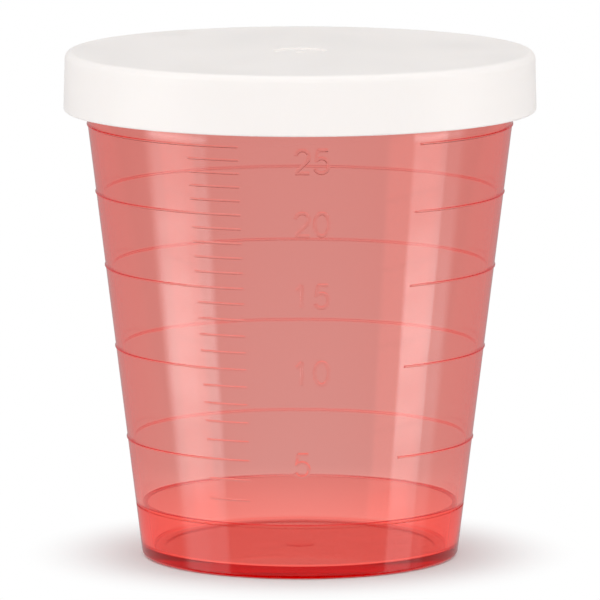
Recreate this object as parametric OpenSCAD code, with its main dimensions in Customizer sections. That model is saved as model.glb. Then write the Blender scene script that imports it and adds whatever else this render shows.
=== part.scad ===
// Graduated medicine cup with a push-on lid
//
// The cup is one moulding: a tapered wall that thickens below an inner step, a floor on a
// standing ring, a rim band and raised millilitre marks. Each mark stands at the height to
// which that much liquid fills the cup, worked out from the inside of the cup itself.
// The lid is a second moulding. Its plate rests on the brim and a bead inside its skirt
// snaps under the rim band.
// Sizes are in millimetres. Z points up, the scale faces -Y, and the origin is the centre
// of the standing face.

/* [Cup body] */
// Outer diameter of the wall, run on down to the standing face
foot_d = 26.8; // [24:0.1:30]
// Outer diameter of the wall at the brim
mouth_d = 37.2; // [34:0.1:42]
// Height from the standing face to the brim
cup_h = 42; // [38:0.5:50]
// Wall thickness at the foot, as it would be with no step
wall_low = 0.75; // [0.6:0.05:1.1]
// Wall thickness at the brim
wall_high = 1; // [0.7:0.05:1.3]
// Floor thickness over the recess
floor_t = 0.55; // [0.4:0.05:1]

/* [Foot] */
// Rounding of the outer edge of the foot
foot_round = 0.4; // [0.2:0.05:0.7]
// Width of the standing ring
ring_w = 1.6; // [1:0.1:3]
// Depth of the recess inside the standing ring
recess_h = 0.2; // [0.1:0.05:0.5]
// Diameter of the gate mark under the floor
foot_gate_d = 2.4; // [1.5:0.1:4]

/* [Inner step] */
// Height of the step above the standing face
step_z = 4.2; // [3:0.1:6]
// Wall thickness below the step
step_wall = 1.5; // [1.3:0.05:2]
// Rounding of the corner above the step
step_round = 0.45; // [0.2:0.05:0.6]
// Rounding of the corner between floor and wall
well_round = 0.85; // [0.4:0.05:1.2]

/* [Rim] */
// How far the rim band stands out from the wall at the brim
rim_out = 0.35; // [0.25:0.05:0.6]
// Height of the rim band's upright face
rim_h = 1.2; // [0.8:0.1:2]
// Rounding of the rim band's outer edge
rim_round = 0.3; // [0.15:0.05:0.35]
// Chamfer inside the brim
brim_cut = 0.2; // [0.1:0.05:0.3]

/* [Scale] */
// First mark, in millilitres
mark_first = 3; // [1:1:5]
// Last mark, in millilitres
mark_last = 25; // [10:1:27]
// A ring replaces the short mark at each multiple of this many millilitres
ring_every = 5; // [2:1:10]
// How far the marks stand out from the wall
mark_out = 0.1; // [0.05:0.01:0.25]
// Width of a mark at the wall
mark_w = 0.24; // [0.16:0.02:0.5]
// Where the short marks end, in degrees left of the middle of the front
tick_inner = 16.5; // [10:0.5:25]
// How far round the short marks run, in degrees
tick_span = 15; // [6:0.5:30]
// Where the rings start, in degrees right of the middle of the front
ring_start = 35.5; // [20:0.5:60]

/* [Lid] */
// Height of the lid
lid_h = 5; // [4:0.1:8]
// Thickness of the lid's top plate
lid_t = 1; // [0.7:0.05:1.5]
// Thickness of the skirt beside the rim band
skirt_t = 0.95; // [0.7:0.05:1.5]
// How much the skirt's outer radius shrinks from its lower edge to the top
skirt_draft = 0.13; // [0:0.01:0.3]
// How far the skirt's bore opens out from the snap bead to the lower edge
skirt_flare = 0.25; // [0:0.05:0.35]
// Rounding of the lid's top edge
lid_round = 0.6; // [0.3:0.05:0.9]
// Rounding of the skirt's lower edge
lip_round = 0.2; // [0.1:0.02:0.2]
// Diameter of the gate mark in the top
gate_d = 4.4; // [2:0.1:8]
// Depth of the gate mark
gate_h = 0.15; // [0.05:0.05:0.3]
// Diameter of the gate's stub
stub_d = 0.7; // [0.4:0.1:1.5]

/* [Fit of the lid] */
// Clearance between the lid and the rim band
lid_gap = 0.1; // [0.05:0.01:0.2]
// How far the snap bead reaches in under the rim band
snap_in = 0.2; // [0.1:0.02:0.24]
// Radius of the snap bead
bead_r = 0.4; // [0.3:0.02:0.5]

/* [Hidden] */
$fn = 180;

// The wall
foot_r = foot_d / 2;
mouth_r = mouth_d / 2;
taper = (mouth_r - foot_r) / cup_h;
lean = atan(taper);
floor_z = recess_h + floor_t;
stand_r = foot_r + taper * foot_round - foot_round / cos(lean);
recess_r = stand_r - ring_w;

// The rim band, whose underside slopes in at 45 degrees to meet the wall
rim_r = mouth_r + rim_out;
rim_z = cup_h - rim_h;
rim_foot_z = rim_z - (rim_r - outer_r(rim_z)) / (1 - taper);

// The lid, in place on the brim
lid_z = cup_h + lid_t;
skirt_z = lid_z - lid_h;
bore_r = rim_r + lid_gap;
skirt_r = bore_r + skirt_t;
bead_x = rim_r - snap_in + bead_r;
bead_z = rim_z + bead_x - rim_r - sqrt(2) * (bead_r + lid_gap);
lip_r = bore_r + skirt_flare;

// Radii of the outer and inner faces of the wall at a height
function outer_r(z) = foot_r + taper * z;
function inner_r(z) = outer_r(z) - (wall_low + (wall_high - wall_low) * z / cup_h) / cos(lean);
function well_r(z) = outer_r(z) - step_wall / cos(lean);

// Volume of a tapered space h high, with radius r at its floor, that widens by k per height,
// and the height to which a volume fills it
function space(h, r, k) = PI * (r * r * h + r * k * h * h + k * k * pow(h, 3) / 3);
function fill(v, r, k) = (pow(pow(r, 3) + 3 * k * v / PI, 1 / 3) - r) / k;

// Volume of the plastic that rounds a corner at the radius r: its area goes round at the
// distance of its centroid
function corner(r, edge) = 2 * PI * (r - edge * (10 - 3 * PI) / (12 - 3 * PI)) * (1 - PI / 4) * edge * edge;

// The inside, below and above the step
inner_taper = (inner_r(cup_h) - inner_r(0)) / cup_h;
step_w = well_r(step_z) < inner_r(step_z) ? inner_r(step_z) - well_r(step_z) : 0;
step_edge = min(step_round, 0.8 * step_w);
well_ml = (space(step_z - floor_z, well_r(floor_z), taper) - corner(well_r(floor_z), well_round)) / 1000;
step_ml = well_ml - corner(inner_r(step_z), step_edge) / 1000;

// Height to which so many millilitres fill the cup
function level_z(ml) = ml < well_ml
    ? floor_z + fill(1000 * ml + corner(well_r(floor_z), well_round), well_r(floor_z), taper)
    : step_z + fill(1000 * (ml - step_ml), inner_r(step_z), inner_taper);

// Half section of a tapered round body from z0 up to z1, with its lower edge rounded
module taper_section(z0, z1, r0, r1, edge) {
    k = (r1 - r0) / (z1 - z0);
    a = atan(k);
    edge_x = r0 + k * edge - edge / cos(a);
    polygon([
        [0, z0],
        [edge_x, z0],
        [edge_x + edge * cos(a), z0 + edge - edge * sin(a)],
        [r1, z1],
        [0, z1]
    ]);
    translate([edge_x, z0 + edge])
        circle(edge);
}

module rim_section() {
    polygon([
        [outer_r(rim_foot_z) - wall_high / 2, rim_foot_z],
        [outer_r(rim_foot_z), rim_foot_z],
        [rim_r, rim_z],
        [rim_r, cup_h - rim_round],
        [rim_r - rim_round, cup_h],
        [outer_r(rim_foot_z) - wall_high / 2, cup_h]
    ]);
    translate([rim_r - rim_round, cup_h - rim_round])
        circle(rim_round);
}

module inside_section() {
    mouth_cut = inner_r(cup_h) + brim_cut;
    taper_section(step_z, cup_h, inner_r(step_z), inner_r(cup_h), step_edge);
    taper_section(floor_z, step_z + step_edge, well_r(floor_z), well_r(step_z + step_edge), well_round);
    polygon([
        [0, cup_h - brim_cut],
        [inner_r(cup_h - brim_cut), cup_h - brim_cut],
        [mouth_cut, cup_h],
        [mouth_cut, cup_h + brim_cut],
        [0, cup_h + brim_cut]
    ]);
}

// Shallow recess under the floor, with the gate mark left standing in its middle
module recess_section() {
    translate([foot_gate_d / 2, -recess_h])
        square([recess_r - foot_gate_d / 2, 2 * recess_h]);
    translate([0, -recess_h])
        square([foot_gate_d, 1.5 * recess_h]);
}

module wall_and_floor() {
    rotate_extrude()
        difference() {
            union() {
                taper_section(0, cup_h, foot_r, mouth_r, foot_round);
                rim_section();
            }
            inside_section();
            recess_section();
        }
}

// Raised mark at a height, from one angle round for a span, counted from the middle of the
// front towards +X. Its sides slope, and it is rooted a little inside the wall.
module mark(z, from, span) {
    root = mark_out + taper * mark_w;
    rotate(from - 90)
        rotate_extrude(angle = span)
            polygon([
                [outer_r(z) - root, z - 0.75 * mark_w],
                [outer_r(z) + mark_out, z - 0.25 * mark_w],
                [outer_r(z) + mark_out, z + 0.25 * mark_w],
                [outer_r(z) - root, z + 0.75 * mark_w]
            ]);
}

module marks() {
    for (ml = [mark_first : mark_last]) {
        z = level_z(ml);
        if (z + mark_w < rim_foot_z) {
            if (ml % ring_every == 0)
                mark(z, ring_start, 360 - ring_start - tick_inner);
            else
                mark(z, -tick_inner - tick_span, tick_span);
        }
    }
}

module cup() {
    color([0.88, 0.2, 0.17, 0.6]) {
        wall_and_floor();
        marks();
    }
}

module skirt_section() {
    translate([0, lid_z])
        mirror([0, 1])
            taper_section(0, lid_h - lip_round, skirt_r - skirt_draft, skirt_r, lid_round);
}

// Lower edge of the skirt, rounded on both sides
module lip_section() {
    z = skirt_z + lip_round;
    polygon([
        [lip_r, z],
        [lip_r + lip_round, skirt_z],
        [skirt_r - lip_round, skirt_z],
        [skirt_r, z]
    ]);
    for (x = [lip_r + lip_round, skirt_r - lip_round])
        translate([x, z])
            circle(lip_round);
}

module bore_section() {
    polygon([
        [0, cup_h],
        [bore_r, cup_h],
        [bore_r, bead_z],
        [lip_r, skirt_z + lip_round],
        [0, skirt_z + lip_round]
    ]);
}

module gate_section() {
    translate([stub_d / 2, lid_z - gate_h])
        square([(gate_d - stub_d) / 2, 2 * gate_h]);
    translate([0, lid_z - gate_h / 2])
        square([stub_d, gate_h]);
}

module lid() {
    color([0.96, 0.95, 0.94])
        rotate_extrude() {
            difference() {
                skirt_section();
                bore_section();
                gate_section();
            }
            lip_section();
            translate([bead_x, bead_z])
                circle(bead_r);
        }
}

cup();
lid();
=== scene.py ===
"""The looks of a graduated medicine cup with its push-on lid, laid out as a Blender add-on.

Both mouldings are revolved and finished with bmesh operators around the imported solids, which
they replace. Lengths are in metres. The scale faces -Y, where the camera stands.
"""

import math

import bmesh
import bpy
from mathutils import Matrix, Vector


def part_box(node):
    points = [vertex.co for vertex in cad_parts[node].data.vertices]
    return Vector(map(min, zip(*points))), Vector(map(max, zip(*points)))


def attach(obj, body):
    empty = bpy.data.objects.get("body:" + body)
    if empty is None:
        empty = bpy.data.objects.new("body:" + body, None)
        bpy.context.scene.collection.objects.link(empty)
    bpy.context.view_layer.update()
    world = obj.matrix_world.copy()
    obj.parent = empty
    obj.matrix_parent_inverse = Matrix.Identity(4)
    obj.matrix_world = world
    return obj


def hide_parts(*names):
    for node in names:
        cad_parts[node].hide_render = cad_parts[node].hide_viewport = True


bl_info = {
    "name": "Medicine cup",
    "version": (1, 0, 0),
    "blender": (4, 5, 0),
    "location": "3D View > Sidebar > Medicine cup",
    "description": "Models a graduated medicine cup, its push-on lid and a plain studio round them",
    "category": "Object",
}

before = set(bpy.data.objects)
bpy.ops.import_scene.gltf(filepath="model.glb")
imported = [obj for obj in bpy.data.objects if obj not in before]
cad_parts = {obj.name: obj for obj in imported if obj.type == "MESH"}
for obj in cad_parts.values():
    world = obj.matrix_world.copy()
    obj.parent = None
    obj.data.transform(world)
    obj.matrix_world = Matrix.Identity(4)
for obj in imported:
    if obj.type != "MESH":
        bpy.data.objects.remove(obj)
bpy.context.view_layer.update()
CUP_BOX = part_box("cup")
LID_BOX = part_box("lid")

MM = 0.001
ML = 1e-6
# Columns round each moulding: 0.75 degrees each, so the marks start and end on one
COLUMNS = 480
# Two places nearer than this are the same
SAME = 1e-6


class CupSizes(bpy.types.PropertyGroup):
    """Sizes of the cup's wall, foot, inner step and rim"""

    foot_r: bpy.props.FloatProperty(
        name="Foot radius", description="Outer radius of the wall, run on down to the floor",
        default=13.4 * MM, subtype="DISTANCE", precision=5)
    mouth_r: bpy.props.FloatProperty(
        name="Mouth radius", description="Outer radius of the wall at the brim",
        default=18.6 * MM, subtype="DISTANCE", precision=5)
    height: bpy.props.FloatProperty(
        name="Height", description="Height of the brim",
        default=CUP_BOX[1].z, subtype="DISTANCE", precision=5)
    wall_low: bpy.props.FloatProperty(
        name="Wall at the foot", description="Wall thickness at the foot, as if there were no step",
        default=0.5 * MM, subtype="DISTANCE", precision=5)
    wall_high: bpy.props.FloatProperty(
        name="Wall at the brim", description="Wall thickness at the brim",
        default=0.6 * MM, subtype="DISTANCE", precision=5)
    floor_t: bpy.props.FloatProperty(
        name="Floor", description="Thickness of the floor over the recess",
        default=0.8 * MM, subtype="DISTANCE", precision=5)
    foot_round: bpy.props.FloatProperty(
        name="Foot rounding", description="Rounding of the outer edge of the foot",
        default=0.4 * MM, subtype="DISTANCE", precision=5)
    ring_w: bpy.props.FloatProperty(
        name="Standing ring", description="Width of the ring that the cup stands on",
        default=1.6 * MM, subtype="DISTANCE", precision=5)
    recess_h: bpy.props.FloatProperty(
        name="Recess", description="Depth of the recess inside the standing ring",
        default=0.2 * MM, subtype="DISTANCE", precision=5)
    foot_gate_r: bpy.props.FloatProperty(
        name="Foot gate", description="Radius of the gate mark under the floor",
        default=1.2 * MM, subtype="DISTANCE", precision=5)
    step_z: bpy.props.FloatProperty(
        name="Step height", description="Height of the inner step above the standing face",
        default=4.6 * MM, subtype="DISTANCE", precision=5)
    step_wall: bpy.props.FloatProperty(
        name="Wall below the step", description="Wall thickness below the inner step",
        default=1.0 * MM, subtype="DISTANCE", precision=5)
    step_round: bpy.props.FloatProperty(
        name="Step rounding", description="Rounding of the corner above the step",
        default=0.1 * MM, subtype="DISTANCE", precision=5)
    well_round: bpy.props.FloatProperty(
        name="Floor rounding", description="Rounding of the corner between floor and wall",
        default=0.3 * MM, subtype="DISTANCE", precision=5)
    seam_z: bpy.props.FloatProperty(
        name="Seam height", description="Height of the fine groove where the mould's base meets its side",
        default=4.44 * MM, subtype="DISTANCE", precision=5)
    seam_w: bpy.props.FloatProperty(
        name="Seam width", description="Width of the groove",
        default=0.14 * MM, subtype="DISTANCE", precision=5)
    seam_in: bpy.props.FloatProperty(
        name="Seam depth", description="Depth of the groove",
        default=0.2 * MM, subtype="DISTANCE", precision=5)
    rim_r: bpy.props.FloatProperty(
        name="Rim radius", description="Outer radius of the rim band",
        default=CUP_BOX[1].x, subtype="DISTANCE", precision=5)
    rim_h: bpy.props.FloatProperty(
        name="Rim height", description="Height of the rim band's upright face",
        default=1.2 * MM, subtype="DISTANCE", precision=5)
    rim_round: bpy.props.FloatProperty(
        name="Rim rounding", description="Rounding of the rim band's outer edge",
        default=0.3 * MM, subtype="DISTANCE", precision=5)
    brim_cut: bpy.props.FloatProperty(
        name="Brim chamfer", description="Chamfer inside the brim",
        default=0.2 * MM, subtype="DISTANCE", precision=5)


class ScaleSizes(bpy.types.PropertyGroup):
    """Sizes of the raised marks and numerals"""

    first: bpy.props.IntProperty(
        name="First mark", description="Lowest mark, in millilitres", default=3)
    last: bpy.props.IntProperty(
        name="Last mark", description="Highest mark, in millilitres", default=25)
    ring_every: bpy.props.IntProperty(
        name="Ring every", description="Millilitres from one ring to the next", default=5)
    solid_low: bpy.props.FloatProperty(
        name="Solid's wall at the foot", description="Wall of the packed solid, which sets the marks' heights",
        default=0.75 * MM, subtype="DISTANCE", precision=5)
    solid_high: bpy.props.FloatProperty(
        name="Solid's wall at the brim", description="Wall of the packed solid, which sets the marks' heights",
        default=1.0 * MM, subtype="DISTANCE", precision=5)
    mark_w: bpy.props.FloatProperty(
        name="Mark width", description="Width of a mark at the wall",
        default=0.2 * MM, subtype="DISTANCE", precision=5)
    mark_out: bpy.props.FloatProperty(
        name="Mark height", description="How far a mark stands out from the wall",
        default=0.08 * MM, subtype="DISTANCE", precision=5)
    tick_inner: bpy.props.FloatProperty(
        name="Short marks' inner end", description="Angle left of the middle of the front",
        default=math.radians(16.5), subtype="ANGLE")
    tick_span: bpy.props.FloatProperty(
        name="Short marks' length", description="Angle that the short marks run round",
        default=math.radians(15.0), subtype="ANGLE")
    ring_start: bpy.props.FloatProperty(
        name="Rings' start", description="Angle right of the middle of the front",
        default=math.radians(34.0), subtype="ANGLE")
    digit_h: bpy.props.FloatProperty(
        name="Digit height", description="Height of a digit's centre line",
        default=1.95 * MM, subtype="DISTANCE", precision=5)
    digit_w: bpy.props.FloatProperty(
        name="Digit width", description="Width of a digit's centre line",
        default=1.18 * MM, subtype="DISTANCE", precision=5)
    digit_pitch: bpy.props.FloatProperty(
        name="Digit pitch", description="Distance from one digit to the next",
        default=1.62 * MM, subtype="DISTANCE", precision=5)
    digit_left: bpy.props.FloatProperty(
        name="Numerals' left edge", description="Place of the first digit's centre line, from the middle",
        default=-0.4 * MM, subtype="DISTANCE", precision=5)
    stroke_r: bpy.props.FloatProperty(
        name="Stroke radius", description="Half the width of a digit's stroke",
        default=0.15 * MM, subtype="DISTANCE", precision=5)
    digit_out: bpy.props.FloatProperty(
        name="Digit relief", description="How far a digit stands out from the wall",
        default=0.12 * MM, subtype="DISTANCE", precision=5)


class LidSizes(bpy.types.PropertyGroup):
    """Sizes of the lid"""

    top_z: bpy.props.FloatProperty(
        name="Top", description="Height of the lid's top face",
        default=LID_BOX[1].z, subtype="DISTANCE", precision=5)
    skirt_z: bpy.props.FloatProperty(
        name="Skirt's lower edge", description="Height of the skirt's lower edge",
        default=LID_BOX[0].z, subtype="DISTANCE", precision=5)
    skirt_r: bpy.props.FloatProperty(
        name="Skirt radius", description="Outer radius at the skirt's lower edge",
        default=LID_BOX[1].x, subtype="DISTANCE", precision=5)
    skirt_draft: bpy.props.FloatProperty(
        name="Skirt draft", description="How much the outer radius shrinks to the top",
        default=0.13 * MM, subtype="DISTANCE", precision=5)
    skirt_flare: bpy.props.FloatProperty(
        name="Skirt flare", description="How far the bore opens out to the lower edge",
        default=0.25 * MM, subtype="DISTANCE", precision=5)
    gap: bpy.props.FloatProperty(
        name="Clearance", description="Clearance between the lid and the rim band",
        default=0.1 * MM, subtype="DISTANCE", precision=5)
    snap_in: bpy.props.FloatProperty(
        name="Snap", description="How far the bead reaches in under the rim band",
        default=0.2 * MM, subtype="DISTANCE", precision=5)
    bead_r: bpy.props.FloatProperty(
        name="Bead radius", description="Radius of the snap bead",
        default=0.4 * MM, subtype="DISTANCE", precision=5)
    top_round: bpy.props.FloatProperty(
        name="Top rounding", description="Rounding of the lid's top edge",
        default=0.6 * MM, subtype="DISTANCE", precision=5)
    lip_round: bpy.props.FloatProperty(
        name="Lip rounding", description="Rounding of the skirt's lower edge",
        default=0.2 * MM, subtype="DISTANCE", precision=5)
    gate_r: bpy.props.FloatProperty(
        name="Gate mark", description="Radius of the gate mark in the top",
        default=2.2 * MM, subtype="DISTANCE", precision=5)
    gate_h: bpy.props.FloatProperty(
        name="Gate depth", description="Depth of the gate mark",
        default=0.15 * MM, subtype="DISTANCE", precision=5)
    stub_r: bpy.props.FloatProperty(
        name="Gate stub", description="Radius of the stub left by the gate",
        default=0.35 * MM, subtype="DISTANCE", precision=5)


def linear(text):
    """The linear colour of an sRGB hex value such as #ffffff."""
    parts = [int(text[i:i + 2], 16) / 255 for i in (1, 3, 5)]
    return tuple(c / 12.92 if c <= 0.04045 else ((c + 0.055) / 1.055) ** 2.4 for c in parts)


class Finish(bpy.types.PropertyGroup):
    """Colours of the two plastics and the room"""

    cup_tint: bpy.props.FloatVectorProperty(
        name="Cup tint", description="Colour that a long way through the cup's plastic lets past",
        default=linear("#fd7a58"), size=3, min=0, max=1, subtype="COLOR")
    cup_depth: bpy.props.FloatProperty(
        name="Tint density", description="How much of the other colours a metre of plastic takes",
        default=1150.0, min=0)
    lid_colour: bpy.props.FloatVectorProperty(
        name="Lid colour", description="Colour of the lid's plastic",
        default=linear("#f6f1ee"), size=3, min=0, max=1, subtype="COLOR")
    floor_colour: bpy.props.FloatVectorProperty(
        name="Floor colour", description="Colour of the floor",
        default=linear("#f7f7f7"), size=3, min=0, max=1, subtype="COLOR")


# Modelling

def near(vert, radius, height):
    """Whether a vertex lies on the circle of that radius and height."""
    return abs(vert.co.z - height) < SAME and abs(math.hypot(vert.co.x, vert.co.y) - radius) < SAME


def revolve(outline):
    """Spins an outline of (radius, height) corners, from axis to axis, into a closed body."""
    bm = bmesh.new()
    corners = [bm.verts.new((r, 0, z)) for r, z in outline]
    sides = [bm.edges.new(pair) for pair in zip(corners, corners[1:])]
    bmesh.ops.spin(
        bm, geom=corners + sides, cent=(0, 0, 0), axis=(0, 0, 1), dvec=(0, 0, 0),
        angle=math.tau, steps=COLUMNS, use_merge=True)
    bmesh.ops.remove_doubles(bm, verts=bm.verts, dist=SAME / 10)
    bmesh.ops.recalc_face_normals(bm, faces=bm.faces)
    return bm


def round_circles(bm, circles, offset, segments):
    """Rounds the sharp edges that run round the body at these (radius, height) places."""
    edges = [e for e in bm.edges
             if any(all(near(v, r, z) for v in e.verts) for r, z in circles)]
    bmesh.ops.bevel(
        bm, geom=edges, offset=offset, offset_type="OFFSET", segments=segments,
        profile=0.5, affect="EDGES", material=-1)


def new_piece(bm, name):
    """Turns the bmesh into an object."""
    mesh = bpy.data.meshes.new(name)
    bm.to_mesh(mesh)
    bm.free()
    piece = bpy.data.objects.new(name, mesh)
    bpy.context.scene.collection.objects.link(piece)
    return piece


def apply_modifiers(piece):
    """Puts the piece's modifiers into its mesh, which is left without material slots."""
    view = bpy.context.evaluated_depsgraph_get()
    mesh = bpy.data.meshes.new_from_object(piece.evaluated_get(view))
    piece.modifiers.clear()
    mesh.materials.clear()
    piece.data = mesh


# Edges over this angle stay sharp
SHARP = math.radians(40)


def shade(piece):
    """Shades the piece smoothly. At a rounded edge the large faces keep their own direction, so
    that the wall bends light as its shape does, and the small ones turn between them."""
    piece.data.shade_smooth()
    piece.data.set_sharp_from_angle(angle=SHARP)
    normals = piece.modifiers.new("normals", "WEIGHTED_NORMAL")
    normals.mode = "FACE_AREA"
    normals.weight = 100
    normals.keep_sharp = True
    apply_modifiers(piece)


class CupShape:
    """Radii and levels of the cup with a given wall, worked out from its sizes."""

    def __init__(self, cup, wall_low, wall_high):
        self.cup = cup
        self.wall_low = wall_low
        self.wall_high = wall_high
        self.taper = (cup.mouth_r - cup.foot_r) / cup.height
        self.lean = math.atan(self.taper)
        self.floor_z = cup.recess_h + cup.floor_t
        self.stand_r = cup.foot_r + self.taper * cup.foot_round - cup.foot_round / math.cos(self.lean)
        self.rim_z = cup.height - cup.rim_h
        self.rim_foot_z = self.rim_z - (cup.rim_r - self.outer(self.rim_z)) / (1 - self.taper)

    def outer(self, z):
        """Radius of the wall's outer face."""
        return self.cup.foot_r + self.taper * z

    def inner(self, z):
        """Radius of the wall's inner face above the step."""
        wall = self.wall_low + (self.wall_high - self.wall_low) * z / self.cup.height
        return self.outer(z) - wall / math.cos(self.lean)

    def well(self, z):
        """Radius of the wall's inner face below the step."""
        return self.outer(z) - self.cup.step_wall / math.cos(self.lean)

    def rounding(self, radius, edge):
        """Volume of the plastic that rounds a corner at that radius."""
        centroid = (10 - 3 * math.pi) / (12 - 3 * math.pi)
        return math.tau * (radius - centroid * edge) * (1 - math.pi / 4) * edge ** 2

    def level(self, millilitres):
        """Height above the step to which a volume fills the cup."""
        cup = self.cup
        depth = cup.step_z - self.floor_z
        r, k = self.well(self.floor_z), self.taper
        filled = math.pi * (r * r * depth + r * k * depth ** 2 + k * k * depth ** 3 / 3)
        filled -= self.rounding(r, cup.well_round) + self.rounding(self.inner(cup.step_z), cup.step_round)
        r = self.inner(cup.step_z)
        k = (self.inner(cup.height) - self.inner(0)) / cup.height
        above = millilitres * ML - filled
        return cup.step_z + ((r ** 3 + 3 * k * above / math.pi) ** (1 / 3) - r) / k


def cup_outline(cup, shape, levels, mark_w):
    """Half section of the cup, from the middle of its underside round to the middle of its floor."""
    rows = [z + side * mark_w / 2 for z in levels for side in (-1, 1)]
    seam_low, seam_high = cup.seam_z - cup.seam_w / 2, cup.seam_z + cup.seam_w / 2
    return [
        (0, cup.recess_h / 2),
        (cup.foot_gate_r, cup.recess_h / 2),
        (cup.foot_gate_r, cup.recess_h),
        (shape.stand_r - cup.ring_w, cup.recess_h),
        (shape.stand_r - cup.ring_w, 0),
        (cup.foot_r, 0),
        (shape.outer(seam_low), seam_low),
        (shape.outer(seam_low) - cup.seam_in, seam_low),
        (shape.outer(seam_high) - cup.seam_in, seam_high),
        (shape.outer(seam_high), seam_high),
        *[(shape.outer(z), z) for z in rows],
        (shape.outer(shape.rim_foot_z), shape.rim_foot_z),
        (cup.rim_r, shape.rim_z),
        (cup.rim_r, cup.height),
        (shape.inner(cup.height) + cup.brim_cut, cup.height),
        (shape.inner(cup.height - cup.brim_cut), cup.height - cup.brim_cut),
        (shape.inner(cup.step_z), cup.step_z),
        (shape.well(cup.step_z), cup.step_z),
        (shape.well(shape.floor_z), shape.floor_z),
        (0, shape.floor_z),
    ]


def raise_marks(bm, shape, scale, levels):
    """Raises the scale's rings and short marks out of the wall as round-topped ribs."""
    faces = []
    for face in bm.faces:
        at = face.calc_center_median()
        if math.hypot(at.x, at.y) < shape.outer(at.z) - scale.mark_w:
            continue
        for millilitres, z in levels.items():
            if abs(at.z - z) > scale.mark_w / 4:
                continue
            angle = math.atan2(at.x, -at.y)
            ring = millilitres % scale.ring_every == 0
            short = -scale.tick_inner - scale.tick_span < angle < -scale.tick_inner
            if short or ring and (angle < -scale.tick_inner or angle > scale.ring_start):
                faces.append(face)
    for share_in, share_out in ((0.15, 0.65), (0.2, 0.35)):
        bmesh.ops.inset_region(
            bm, faces=faces, thickness=share_in * scale.mark_w, depth=share_out * scale.mark_out,
            use_boundary=True, use_even_offset=True)


# Numerals

def arc(x, y, rx, ry, start, end, points=14):
    """Points along an ellipse between two angles in degrees."""
    turns = [math.radians(start + (end - start) * i / (points - 1)) for i in range(points)]
    return [(x + rx * math.cos(a), y + ry * math.sin(a)) for a in turns]


def digit_lines(digit):
    """Centre lines of a digit's strokes in a cell 1 wide and 1 high. A stroke that ends where it
    starts is closed."""
    return {
        "0": [arc(0.5, 0.5, 0.5, 0.5, 90, 450, 33)],
        "1": [[(0.1, 0.76), (0.48, 1.0)], [(0.46, 1.0), (0.46, 0.0)]],
        "2": [arc(0.5, 0.71, 0.47, 0.29, 168, -42, 20) + [(0.04, 0.04)], [(0.0, 0.0), (1.0, 0.0)]],
        "5": [
            [(0.2, 1.0), (0.92, 1.0)],
            [(0.24, 1.0), (0.1, 0.5)],
            arc(0.48, 0.325, 0.5, 0.325, 138, -155, 24),
        ],
    }[digit]


def stroke_bar(points, left, scale):
    """One stroke of a digit as a round bar lying flat in the plane of the wall."""
    curve = bpy.data.curves.new("stroke", "CURVE")
    curve.dimensions = "3D"
    curve.bevel_depth = scale.stroke_r
    curve.bevel_resolution = 4
    curve.use_fill_caps = True
    closed = math.dist(points[0], points[-1]) < SAME
    if closed:
        points = points[:-1]
    spline = curve.splines.new("POLY")
    spline.points.add(len(points) - 1)
    spline.use_cyclic_u = closed
    for point, (x, y) in zip(spline.points, points):
        point.co = (left + x * scale.digit_w, (y - 0.5) * scale.digit_h, 0, 1)
    holder = bpy.data.objects.new("stroke", curve)
    bm = bmesh.new()
    bm.from_mesh(holder.to_mesh())
    holder.to_mesh_clear()
    bpy.data.objects.remove(holder)
    bpy.data.curves.remove(curve)
    return bm


def wrap_on_wall(bm, shape, z, relief):
    """Bends flat strokes round the wall, centred at a height, with their tops cut off flat."""
    radius = shape.outer(z)
    for vert in bm.verts:
        x, along, out = vert.co.x, vert.co.y, min(vert.co.z, relief)
        height = z + along * math.cos(shape.lean) - out * math.sin(shape.lean)
        reach = shape.outer(z + along * math.cos(shape.lean)) + out * math.cos(shape.lean)
        vert.co = (reach * math.sin(x / radius), -reach * math.cos(x / radius), height)
    bmesh.ops.remove_doubles(bm, verts=bm.verts, dist=SAME / 10)
    bmesh.ops.recalc_face_normals(bm, faces=bm.faces)


# How far each numeral's middle lies below its ring, in millimetres
NUMERAL_DROPS = {25: 1.15, 20: 0.72, 15: 0.57, 10: 0.2, 5: 0.3}


def fuse(piece, tool):
    """Joins a closed mesh into the piece, as one body, and removes it."""
    joint = piece.modifiers.new("fuse", "BOOLEAN")
    joint.operation = "UNION"
    joint.solver = "MANIFOLD"
    joint.object = tool
    apply_modifiers(piece)
    bpy.data.objects.remove(tool)


# Materials

def add_node(tree, kind, inputs=None, **settings):
    """Adds a node with these settings. An input is a value, or a socket to link from."""
    node = tree.nodes.new(kind)
    for name, value in settings.items():
        setattr(node, name, value)
    for name, value in (inputs or {}).items():
        if isinstance(value, bpy.types.NodeSocket):
            tree.links.new(value, node.inputs[name])
        else:
            node.inputs[name].default_value = value
    return node


def new_material(name):
    """An empty material, its tree and its output node."""
    material = bpy.data.materials.new(name)
    material.use_nodes = True
    tree = material.node_tree
    tree.nodes.clear()
    return material, tree, add_node(tree, "ShaderNodeOutputMaterial")


# Painted glow: the plastic gives off a faint red light wherever a ray arrives after a glossy bounce. It stands
# in for light caught in the wall and makes edges redder.
PAINTED_RED_GLOW = 0.03


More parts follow.
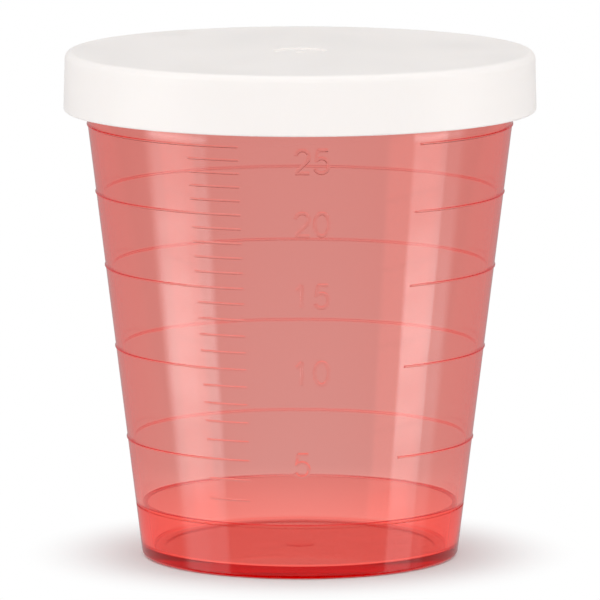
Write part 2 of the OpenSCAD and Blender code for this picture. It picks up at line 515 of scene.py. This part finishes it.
def moulded_clear_polypropylene(finish):
    """Clear red polypropylene from a polished mould: a glassy surface with a faint flow ripple, and a tint
    inside the plastic, so that thick places go deep red. Edges go deep red partly from that tint and partly
    from a painted red glow on rays that have had a glossy bounce."""
    material, tree, output = new_material("moulded polypropylene, clear red")
    place = add_node(tree, "ShaderNodeTexCoord").outputs["Object"]
    ripple = add_node(
        tree, "ShaderNodeTexNoise",
        {"Vector": place, "Scale": 1 / (9 * MM), "Detail": 2.0, "Roughness": 0.4})
    bump = add_node(
        tree, "ShaderNodeBump",
        {"Height": ripple.outputs["Fac"], "Strength": 0.12, "Distance": 0.25 * MM})
    haze = add_node(
        tree, "ShaderNodeTexNoise",
        {"Vector": place, "Scale": 1 / (4 * MM), "Detail": 3.0})
    rough = add_node(
        tree, "ShaderNodeMapRange",
        {"Value": haze.outputs["Fac"], "From Min": 0.3, "From Max": 0.7, "To Min": 0.02, "To Max": 0.05})
    rays = add_node(tree, "ShaderNodeLightPath").outputs
    # Painted glow: a faint red emission, only on rays that have had a glossy bounce
    painted_glow_mask = add_node(tree, "ShaderNodeMath", {0: rays["Glossy Depth"], 1: 0.5}, operation="GREATER_THAN")
    painted_glow_strength = add_node(
        tree, "ShaderNodeMath", {0: painted_glow_mask.outputs["Value"], 1: PAINTED_RED_GLOW}, operation="MULTIPLY")
    body = add_node(
        tree, "ShaderNodeBsdfPrincipled",
        {"Base Color": (1, 1, 1, 1), "Roughness": rough.outputs["Result"], "IOR": 1.49,
         "Transmission Weight": 1.0, "Normal": bump.outputs["Normal"],
         "Emission Color": (*linear("#ff1a1a"), 1), "Emission Strength": painted_glow_strength.outputs["Value"]})
    material.cycles.emission_sampling = "NONE"
    tint = add_node(
        tree, "ShaderNodeVolumeAbsorption",
        {"Color": (*finish.cup_tint, 1), "Density": finish.cup_depth})
    tree.links.new(body.outputs["BSDF"], output.inputs["Surface"])
    tree.links.new(tint.outputs["Volume"], output.inputs["Volume"])
    return material


def moulded_white_polyethylene(finish):
    """White polyethylene from a fine-sparked mould: a soft satin sheen, light that sinks in a
    little, and a fine even grain."""
    material, tree, output = new_material("moulded polyethylene, white")
    place = add_node(tree, "ShaderNodeTexCoord").outputs["Object"]
    grain = add_node(
        tree, "ShaderNodeTexNoise",
        {"Vector": place, "Scale": 1 / (0.35 * MM), "Detail": 2.0})
    bump = add_node(
        tree, "ShaderNodeBump",
        {"Height": grain.outputs["Fac"], "Strength": 0.08, "Distance": 0.03 * MM})
    cloud = add_node(
        tree, "ShaderNodeTexNoise",
        {"Vector": place, "Scale": 1 / (7 * MM), "Detail": 3.0})
    rough = add_node(
        tree, "ShaderNodeMapRange",
        {"Value": cloud.outputs["Fac"], "From Min": 0.3, "From Max": 0.7, "To Min": 0.34, "To Max": 0.44})
    body = add_node(
        tree, "ShaderNodeBsdfPrincipled",
        {"Base Color": (*finish.lid_colour, 1), "Roughness": rough.outputs["Result"], "IOR": 1.51,
         "Subsurface Weight": 0.15, "Subsurface Radius": (1.0, 0.9, 0.8), "Subsurface Scale": 0.8 * MM,
         "Normal": bump.outputs["Normal"]})
    tree.links.new(body.outputs["BSDF"], output.inputs["Surface"])
    return material


def white_floor(finish):
    """Matt white paper that fades to pure white away from the cup. Seen through the cup it glows white, with a
    painted pool of light: brightest under and round the cup, and a little dimmer further back."""
    material, tree, output = new_material("matt white paper")
    place = add_node(tree, "ShaderNodeTexCoord").outputs["Object"]
    far = add_node(tree, "ShaderNodeVectorMath", {0: place}, operation="LENGTH").outputs["Value"]
    fade = add_node(
        tree, "ShaderNodeMapRange",
        {"Value": far, "From Min": 14 * MM, "From Max": 24 * MM}, interpolation_type="SMOOTHSTEP")
    # Painted pool of light on the floor, seen through the cup: brightest under and round it, dimmer further
    # off
    painted_pool_of_light = add_node(
        tree, "ShaderNodeMapRange",
        {"Value": far, "From Min": 18 * MM, "From Max": 48 * MM, "To Min": FLOOR_LIGHT,
         "To Max": BACKDROP_LIGHT})
    rays = add_node(tree, "ShaderNodeLightPath").outputs
    seen = add_node(
        tree, "ShaderNodeMath", {0: rays["Is Camera Ray"], 1: fade.outputs["Result"]}, operation="MULTIPLY")
    share = add_node(
        tree, "ShaderNodeMath", {0: seen.outputs["Value"], 1: rays["Is Transmission Ray"]},
        operation="MAXIMUM")
    level = add_node(
        tree, "ShaderNodeMix",
        {0: rays["Is Transmission Ray"], 2: 1.0, 3: painted_pool_of_light.outputs["Result"]}, data_type="FLOAT")
    paper = add_node(tree, "ShaderNodeBsdfDiffuse", {"Color": (*finish.floor_colour, 1)})
    white = add_node(
        tree, "ShaderNodeEmission", {"Color": (1, 1, 1, 1), "Strength": level.outputs[0]})
    mix = add_node(
        tree, "ShaderNodeMixShader",
        {0: share.outputs["Value"], 1: paper.outputs["BSDF"], 2: white.outputs["Emission"]})
    tree.links.new(mix.outputs["Shader"], output.inputs["Surface"])
    return material


# Studio

# The tall light banks at each side. Each has a main part and a dimmer part beside it. The angles
# run round from the camera, in degrees: where the part starts, where it is full, where it
# begins to fade and where it has gone.
LIGHT_BANKS = (
    ((-52, -56, -86, -98), 2.3),
    ((-68, -71, -86, -98), 0.6),
    ((54, 66, 88, 91), 0.15),
    ((65, 68, 88, 91), 2.6),
    ((88, 91, 97, 106), 1.0),
)
# Levels of the room in front and behind, as a glossy surface reflects them
FRONT_LIGHT = 0.5
BACK_LIGHT = 0.4
# The backdrop and the far floor, and the painted pool of light on the floor under and round the cup, as the
# cup's plastic shows them
BACKDROP_LIGHT = 0.72
FLOOR_LIGHT = 1.0
# The light that falls on matt surfaces from in front and from behind, and what is added to it
# from each side and from above
FRONT_FILL = 0.82
BACK_FILL = 0.82
SIDE_FILL = 0.18
TOP_FILL = 0.32


def studio_world():
    """A light room with a tall light bank at each side. The camera meets plain white, and so does
    what it sees straight through the cup, a little dimmer."""
    world = bpy.data.worlds.new("studio")
    bpy.context.scene.world = world
    world.use_nodes = True
    tree = world.node_tree
    tree.nodes.clear()

    def ramp(value, at, to, kind="LINEAR"):
        return add_node(
            tree, "ShaderNodeMapRange",
            {"Value": value, "From Min": at[0], "From Max": at[1], "To Min": to[0], "To Max": to[1]},
            interpolation_type=kind).outputs["Result"]

    def maths(operation, *values):
        return add_node(
            tree, "ShaderNodeMath", dict(enumerate(values)), operation=operation).outputs["Value"]

    def mix(share, first, second):
        return add_node(
            tree, "ShaderNodeMix", {0: share, 2: first, 3: second}, data_type="FLOAT").outputs[0]

    way = add_node(tree, "ShaderNodeTexCoord").outputs["Generated"]
    axes = add_node(tree, "ShaderNodeSeparateXYZ", {"Vector": way}).outputs
    turn = maths("ARCTAN2", axes["X"], maths("MULTIPLY", axes["Y"], -1.0))
    banks = 0.0
    for (start, full, fade, gone), power in LIGHT_BANKS:
        inner = ramp(turn, (math.radians(start), math.radians(full)), (0, power))
        outer = ramp(turn, (math.radians(gone), math.radians(fade)), (0, 1), "SMOOTHSTEP")
        banks = maths("MULTIPLY_ADD", inner, outer, banks)
    # The banks are brightest in the middle and dimmer above and below. Their edges slant, so
    # that each level lies flat in the tapered wall.
    slant = maths("COSINE", maths("MULTIPLY", turn, 0.5))
    level = maths("MULTIPLY_ADD", slant, 0.244, axes["Z"])
    height = maths(
        "MULTIPLY", ramp(level, (-0.16, -0.14), (0.27, 1)), ramp(level, (-0.14, -0.1177), (1.55, 0.52)))
    room = ramp(axes["Y"], (-0.3, 0.3), (FRONT_LIGHT, BACK_LIGHT), "SMOOTHSTEP")
    room = maths("MULTIPLY_ADD", banks, height, room)
    room = maths("MULTIPLY", room, ramp(axes["Z"], (-0.9, -0.6), (0, 1), "SMOOTHSTEP"))

    rays = add_node(tree, "ShaderNodeLightPath").outputs
    once = maths("COMPARE", rays["Glossy Depth"], 1.0, 0.5)
    through = maths("MULTIPLY", rays["Is Transmission Ray"], maths("SUBTRACT", 1.0, once))
    backdrop = mix(maths("LESS_THAN", rays["Glossy Depth"], 0.5), 1.0, BACKDROP_LIGHT)
    light = mix(through, room, backdrop)
    fill = ramp(axes["Y"], (-1, 1), (FRONT_FILL, BACK_FILL))
    fill = maths("MULTIPLY_ADD", maths("ABSOLUTE", axes["X"]), SIDE_FILL, fill)
    fill = maths("MULTIPLY_ADD", maths("MAXIMUM", axes["Z"], 0.0), TOP_FILL, fill)
    light = mix(rays["Is Diffuse Ray"], light, fill)
    light = mix(rays["Is Camera Ray"], light, 1.0)
    shine = add_node(tree, "ShaderNodeBackground", {"Color": (1, 1, 1, 1), "Strength": light})
    add_node(tree, "ShaderNodeOutputWorld", {"Surface": shine.outputs["Background"]})


# The camera: where it stands, how far it looks down, and its lens
CAMERA_BACK = 668.0 * MM
CAMERA_UP = 115.7 * MM
CAMERA_DOWN = math.radians(8.01)
CAMERA_LENS = 477.0


def studio_camera():
    """The camera at the photograph's viewing angle."""
    data = bpy.data.cameras.new("camera")
    data.lens = CAMERA_LENS
    data.sensor_width = 36.0
    data.clip_end = 10.0
    camera = bpy.data.objects.new("camera", data)
    camera.location = (0, -CAMERA_BACK, CAMERA_UP)
    camera.rotation_euler = (math.pi / 2 - CAMERA_DOWN, 0, 0)
    bpy.context.scene.collection.objects.link(camera)
    bpy.context.scene.camera = camera


class MEDICINE_CUP_OT_cup(bpy.types.Operator):
    """Models the cup: wall, foot, inner step, rim, marks and numerals in one moulding"""

    bl_idname = "medicine_cup.cup"
    bl_label = "Cup"

    def execute(self, context):
        sizes, scale = context.scene.cup_sizes, context.scene.scale_sizes
        shape = CupShape(sizes, sizes.wall_low, sizes.wall_high)
        # The marks stand where the solid's do, and the solid's wall is the thicker one
        solid = CupShape(sizes, scale.solid_low, scale.solid_high)
        levels = {ml: solid.level(ml) for ml in range(scale.first, scale.last + 1)}
        bm = revolve(cup_outline(sizes, shape, levels.values(), scale.mark_w))
        raise_marks(bm, shape, scale, levels)
        lean = math.tan(math.pi / 4 + shape.lean / 2)
        round_circles(bm, [(sizes.foot_r, 0)], sizes.foot_round / lean, 5)
        round_circles(bm, [(shape.inner(sizes.step_z), sizes.step_z)], sizes.step_round / lean, 5)
        round_circles(bm, [(shape.well(shape.floor_z), shape.floor_z)], sizes.well_round / lean, 6)
        round_circles(bm, [(sizes.rim_r, sizes.height)], sizes.rim_round, 4)
        piece = new_piece(bm, "cup_moulding")
        for millilitres in range(scale.ring_every, scale.last + 1, scale.ring_every):
            z = levels[millilitres] - NUMERAL_DROPS[millilitres] * MM
            for place, digit in enumerate(str(millilitres)):
                left = scale.digit_left + place * scale.digit_pitch
                for points in digit_lines(digit):
                    stroke = stroke_bar(points, left, scale)
                    wrap_on_wall(stroke, shape, z, scale.digit_out)
                    fuse(piece, new_piece(stroke, "stroke"))
        shade(piece)
        piece.data.materials.append(moulded_clear_polypropylene(context.scene.cup_finish))
        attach(piece, "root")
        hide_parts("cup")
        return {"FINISHED"}


class MEDICINE_CUP_OT_lid(bpy.types.Operator):
    """Models the push-on lid with its snap bead and gate mark"""

    bl_idname = "medicine_cup.lid"
    bl_label = "Lid"

    def execute(self, context):
        lid, cup = context.scene.lid_sizes, context.scene.cup_sizes
        bore_r = cup.rim_r + lid.gap
        lip_r = bore_r + lid.skirt_flare
        bead_x = cup.rim_r - lid.snap_in + lid.bead_r
        bead_z = (cup.height - cup.rim_h + bead_x - cup.rim_r
                  - math.sqrt(2) * (lid.bead_r + lid.gap))
        half = math.degrees(math.acos((bead_x - bore_r) / lid.bead_r))
        top_r = lid.skirt_r - lid.skirt_draft
        bm = revolve([
            (0, cup.height),
            (bore_r, cup.height),
            *arc(bead_x, bead_z, lid.bead_r, lid.bead_r, 180 - half, 180 + half, 9),
            (lip_r, lid.skirt_z),
            (lid.skirt_r, lid.skirt_z),
            (top_r, lid.top_z),
            (lid.gate_r, lid.top_z),
            (lid.gate_r, lid.top_z - lid.gate_h),
            (lid.stub_r, lid.top_z - lid.gate_h),
            (lid.stub_r, lid.top_z - lid.gate_h / 2),
            (0, lid.top_z - lid.gate_h / 2),
        ])
        round_circles(bm, [(top_r, lid.top_z)], lid.top_round, 6)
        round_circles(bm, [(lip_r, lid.skirt_z), (lid.skirt_r, lid.skirt_z)], lid.lip_round, 4)
        round_circles(bm, [(lid.gate_r, lid.top_z)], lid.gate_h / 2, 3)
        piece = new_piece(bm, "lid_moulding")
        shade(piece)
        piece.data.materials.append(moulded_white_polyethylene(context.scene.cup_finish))
        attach(piece, "root")
        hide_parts("lid")
        return {"FINISHED"}


class MEDICINE_CUP_OT_stage(bpy.types.Operator):
    """Sets up the floor, the light and the camera"""

    bl_idname = "medicine_cup.stage"
    bl_label = "Stage"

    def execute(self, context):
        bm = bmesh.new()
        bmesh.ops.create_circle(bm, cap_ends=True, segments=96, radius=2.0)
        floor = new_piece(bm, "floor")
        floor.data.materials.append(white_floor(context.scene.cup_finish))
        # Just below the cup, so that the two faces don't lie in one plane
        floor.location.z = -0.02 * MM
        floor.visible_glossy = False
        studio_world()
        studio_camera()
        context.scene.view_settings.view_transform = "Standard"
        context.scene.cycles.max_bounces = 32
        context.scene.cycles.transmission_bounces = 32
        context.scene.cycles.glossy_bounces = 32
        return {"FINISHED"}


class MEDICINE_CUP_PT_panel(bpy.types.Panel):
    """Lists the pieces and their sizes"""

    bl_idname = "MEDICINE_CUP_PT_panel"
    bl_label = "Medicine cup"
    bl_space_type = "VIEW_3D"
    bl_region_type = "UI"
    bl_category = "Medicine cup"

    def draw(self, context):
        for operator in OPERATORS:
            self.layout.operator(operator.bl_idname)
        for name in GROUPS:
            box = self.layout.box()
            group = getattr(context.scene, name)
            for prop in group.bl_rna.properties:
                if prop.identifier not in ("rna_type", "name"):
                    box.prop(group, prop.identifier)


OPERATORS = (MEDICINE_CUP_OT_cup, MEDICINE_CUP_OT_lid, MEDICINE_CUP_OT_stage)
GROUPS = {
    "cup_sizes": CupSizes,
    "scale_sizes": ScaleSizes,
    "lid_sizes": LidSizes,
    "cup_finish": Finish,
}
CLASSES = (*GROUPS.values(), *OPERATORS, MEDICINE_CUP_PT_panel)


def register():
    for cls in CLASSES:
        bpy.utils.register_class(cls)
    for name, group in GROUPS.items():
        setattr(bpy.types.Scene, name, bpy.props.PointerProperty(type=group))


def unregister():
    for name in GROUPS:
        delattr(bpy.types.Scene, name)
    for cls in reversed(CLASSES):
        bpy.utils.unregister_class(cls)


def main():
    register()
    bpy.ops.medicine_cup.cup()
    bpy.ops.medicine_cup.lid()
    bpy.ops.medicine_cup.stage()


if __name__ == "__main__":
    main()
